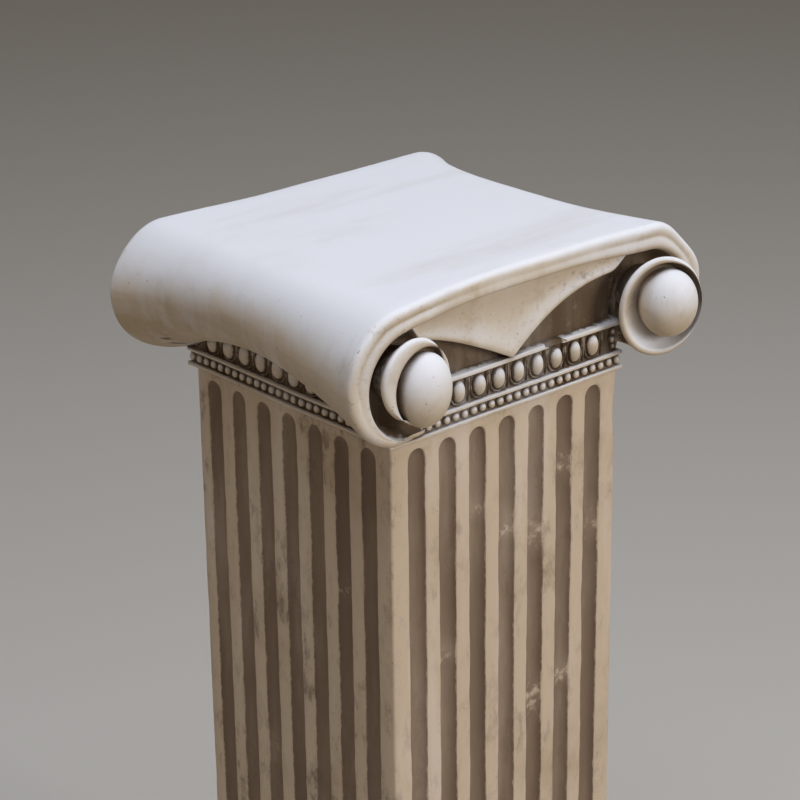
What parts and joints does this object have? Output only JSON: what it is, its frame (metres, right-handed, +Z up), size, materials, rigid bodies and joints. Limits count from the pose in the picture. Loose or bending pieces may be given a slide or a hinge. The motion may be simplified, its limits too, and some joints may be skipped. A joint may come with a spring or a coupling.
{
  "type": "garden column",
  "caption": "Square fluted pedestal column on a moulded base, with a scroll capital: flat top, side rolls, domed scroll eyes and bead and egg rows.",
  "frame": {"origin": "middle of the underside of the plinth", "axes": "+Z up the column, -Y towards the front face with the pointed apron, X across the two scrolls of that face"},
  "size_m": [0.3616, 0.3331, 0.8],
  "materials": {
    "plinth": "matt antiqued cast stone with dirt in the hollows",
    "shaft": "matt antiqued cast stone with an umber wash in the flutes",
    "capital": "matt pale cast stone, cleaner on top, with an umber wash in the carved rows"
  },
  "bodies": {
    "root": {"plinth": "plinth", "shaft": "shaft", "capital": "capital"}
  },
  "joints": []
}
